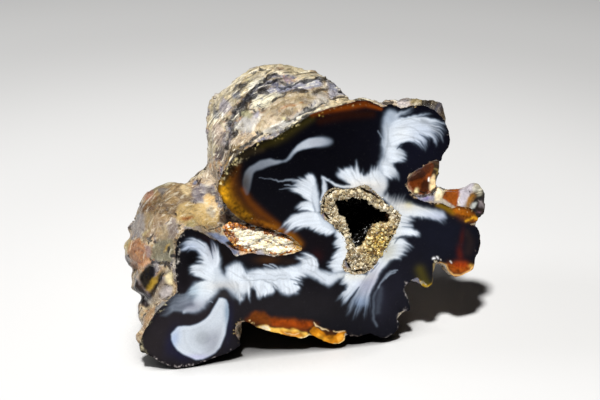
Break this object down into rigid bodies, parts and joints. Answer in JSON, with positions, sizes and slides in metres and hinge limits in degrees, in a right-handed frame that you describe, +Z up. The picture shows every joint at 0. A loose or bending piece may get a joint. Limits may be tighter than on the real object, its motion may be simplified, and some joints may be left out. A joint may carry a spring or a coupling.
{
  "type": "eye agate",
  "caption": "Lobed agate nodule half with a cut and polished face, a crystal-lined pocket and a rough ledged rind, standing on natural flats.",
  "frame": {"origin": "middle of the bounding box at the height of the flats that the stone stands on", "axes": "+Z up; the polished face looks along -Y and leans back 8 degrees; the stone is longest along X"},
  "size_m": [0.0756, 0.0456, 0.0559],
  "materials": {
    "agate_stone": "polished black and white chalcedony on the cut face, rough cream, tan and grey rind elsewhere",
    "quartz_druse": "sugary beige and golden quartz points"
  },
  "bodies": {
    "root": {"agate": "agate_stone", "pocket_crystals": "quartz_druse"}
  },
  "joints": []
}
